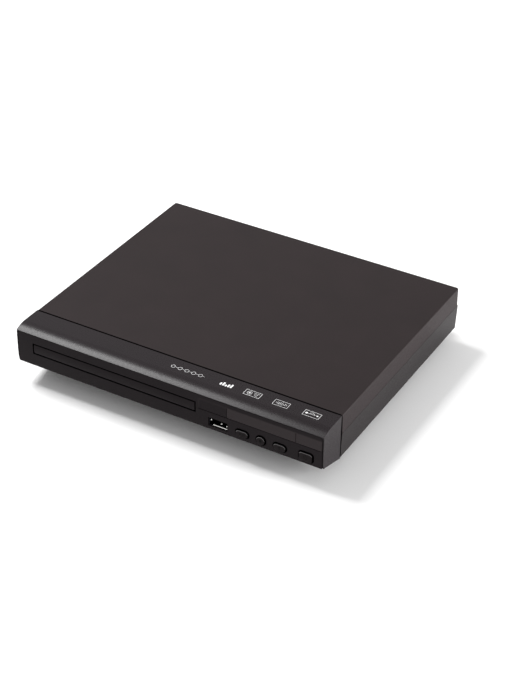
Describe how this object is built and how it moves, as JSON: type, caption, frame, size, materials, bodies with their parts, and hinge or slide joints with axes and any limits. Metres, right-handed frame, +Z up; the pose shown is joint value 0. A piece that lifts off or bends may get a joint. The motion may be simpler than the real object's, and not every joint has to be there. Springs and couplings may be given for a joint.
{
  "type": "DVD player with tray",
  "caption": "Compact DVD player: a front tray with disc drive, display window, USB port and push buttons in a flat plastic housing with sloped underside.",
  "frame": {"origin": "middle of the footprint, jacks included, on the plane that the rubber feet stand on", "axes": "+Z up, +X to the right seen from the front, front face towards -Y"},
  "size_m": [0.223, 0.1994, 0.042],
  "materials": {
    "shell_plastic": "fine grain",
    "panel_plastic": "satin",
    "smoked_plastic": "polished",
    "rubber": "matte",
    "zinc_steel": "satin",
    "plated_steel": "polished",
    "white_nylon": "satin",
    "circuit_board": "lacquered",
    "display_white": "satin",
    "chip_resin": "matte",
    "aluminium": "satin",
    "can_sleeve": "satin",
    "jack_yellow": "satin",
    "jack_white": "satin",
    "jack_red": "satin",
    "nickel": "polished",
    "power_laminate": "matte",
    "winding_tape": "satin",
    "film_parts": "satin",
    "inlet_plastic": "satin",
    "mechanism_black": "satin",
    "ribbon_film": "satin",
    "cable_sheath": "satin",
    "tray_plastic": "satin",
    "acetal": "satin",
    "turntable_plastic": "satin",
    "lens_glass": "polished",
    "button_plastic": "satin"
  },
  "bodies": {
    "housing": {"top_cover": "shell_plastic", "bottom_case": "shell_plastic", "fascia_shell": "shell_plastic", "front_panel": "panel_plastic", "display_window": "smoked_plastic", "ir_window": "smoked_plastic", "rubber_feet": "rubber", "case_screws": "zinc_steel", "chassis_screws": "zinc_steel", "usb_socket": "plated_steel", "usb_tongue": "white_nylon", "front_board": "circuit_board", "display_module": "display_white", "ir_receiver": "chip_resin", "tact_switches": "chip_resin", "main_board": "circuit_board", "main_chips": "chip_resin", "soc_heatsink": "aluminium", "board_connectors": "white_nylon", "capacitors": "can_sleeve", "hdmi_socket": "plated_steel", "rca_jack_yellow": "jack_yellow", "rca_jack_white": "jack_white", "rca_jack_red": "jack_red", "rca_sleeves": "nickel", "power_board": "power_laminate", "transformer": "winding_tape", "power_parts": "film_parts", "mains_inlet": "inlet_plastic", "loader_frame": "mechanism_black", "clamp_bridge": "zinc_steel", "loading_motor": "aluminium", "drive_belt": "rubber", "tray_switch": "chip_resin", "front_ribbon": "ribbon_film", "mechanism_ribbon": "ribbon_film", "power_cable": "cable_sheath"},
    "tray": {"disc_tray": "tray_plastic", "tray_door": "panel_plastic"},
    "drive_gear": {"drive_gear": "acetal"},
    "idler_gear": {"idler_gear": "acetal"},
    "pulley_gear": {"pulley_gear": "acetal"},
    "motor_pulley": {"motor_pulley": "acetal"},
    "cam_slider": {"cam_slider": "white_nylon"},
    "traverse": {"traverse_holder": "mechanism_black", "traverse_plate": "zinc_steel", "damper_grommets": "rubber", "holder_screws": "zinc_steel", "spindle_motor": "aluminium", "guide_rods": "plated_steel", "sled_motor": "aluminium"},
    "turntable": {"turntable": "turntable_plastic"},
    "sled": {"pickup_sled": "aluminium", "objective_lens": "lens_glass"},
    "lead_screw": {"lead_screw": "plated_steel"},
    "puck": {"clamp_puck": "white_nylon"},
    "button_play": {"button_play": "button_plastic"},
    "button_stop": {"button_stop": "button_plastic"},
    "button_open": {"button_open": "button_plastic"},
    "button_power": {"button_power": "button_plastic"}
  },
  "joints": [
    {"name": "tray_slide", "type": "slide", "parent": "housing", "child": "tray", "axis": [0, -1, 0], "range_m": [0, 0.125]},
    {"name": "drive_gear_spin", "type": "hinge", "parent": "housing", "child": "drive_gear", "pos_m": [-0.077, -0.07625, 0.024], "axis": [0, 0, 1], "range_deg": [-2, 1028]},
    {"name": "idler_gear_spin", "type": "hinge", "parent": "housing", "child": "idler_gear", "pos_m": [-0.0594, -0.07625, 0.024], "axis": [0, 0, 1], "range_deg": [-2733, 2]},
    {"name": "pulley_gear_spin", "type": "hinge", "parent": "housing", "child": "pulley_gear", "pos_m": [-0.0426, -0.07625, 0.024], "axis": [0, 0, 1], "range_deg": [-2, 6825]},
    {"name": "motor_pulley_spin", "type": "hinge", "parent": "housing", "child": "motor_pulley", "pos_m": [-0.0088, -0.06885, 0.024], "axis": [0, 0, 1], "range_deg": [-2, 16007]},
    {"name": "traverse_tilt", "type": "hinge", "parent": "housing", "child": "traverse", "pos_m": [-0.0382, 0.04675, 0.018], "axis": [1, 0, 0], "range_deg": [0, 4.5]},
    {"name": "cam_slide", "type": "slide", "parent": "housing", "child": "cam_slider", "axis": [1, 0, 0], "range_m": [0, 0.022]},
    {"name": "turntable_spin", "type": "hinge", "parent": "traverse", "child": "turntable", "pos_m": [-0.0382, -0.03325, 0.0308], "axis": [0, 0, 1], "continuous": true},
    {"name": "sled_slide", "type": "slide", "parent": "traverse", "child": "sled", "axis": [0, 1, 0], "range_m": [0, 0.034]},
    {"name": "lead_screw_spin", "type": "hinge", "parent": "traverse", "child": "lead_screw", "pos_m": [-0.0092, 0.00075, 0.0178], "axis": [0, 1, 0], "range_deg": [-2, 4085]},
    {"name": "puck_spin", "type": "hinge", "parent": "housing", "child": "puck", "pos_m": [-0.0382, -0.03325, 0.0354], "axis": [0, 0, 1], "continuous": true},
    {"name": "button_play_press", "type": "slide", "parent": "housing", "child": "button_play", "axis": [0, 1, 0], "range_m": [0, 0.0006], "stiffness_N_per_m": 2000},
    {"name": "button_stop_press", "type": "slide", "parent": "housing", "child": "button_stop", "axis": [0, 1, 0], "range_m": [0, 0.0006], "stiffness_N_per_m": 2000},
    {"name": "button_open_press", "type": "slide", "parent": "housing", "child": "button_open", "axis": [0, 1, 0], "range_m": [0, 0.0006], "stiffness_N_per_m": 2000},
    {"name": "button_power_press", "type": "slide", "parent": "housing", "child": "button_power", "axis": [0, 1, 0], "range_m": [0, 0.0006], "stiffness_N_per_m": 2000}
  ],
  "couplings": [
    {"joint": "drive_gear_spin", "follows": "tray_slide", "rad_per_m": 142.86},
    {"joint": "idler_gear_spin", "follows": "tray_slide", "rad_per_m": -380.95},
    {"joint": "pulley_gear_spin", "follows": "tray_slide", "rad_per_m": 952.38},
    {"joint": "motor_pulley_spin", "follows": "tray_slide", "rad_per_m": 2234.4},
    {"joint": "cam_slide", "follows": "traverse_tilt", "m_per_rad": 0.28011},
    {"joint": "lead_screw_spin", "follows": "sled_slide", "rad_per_m": 2094.4}
  ]
}
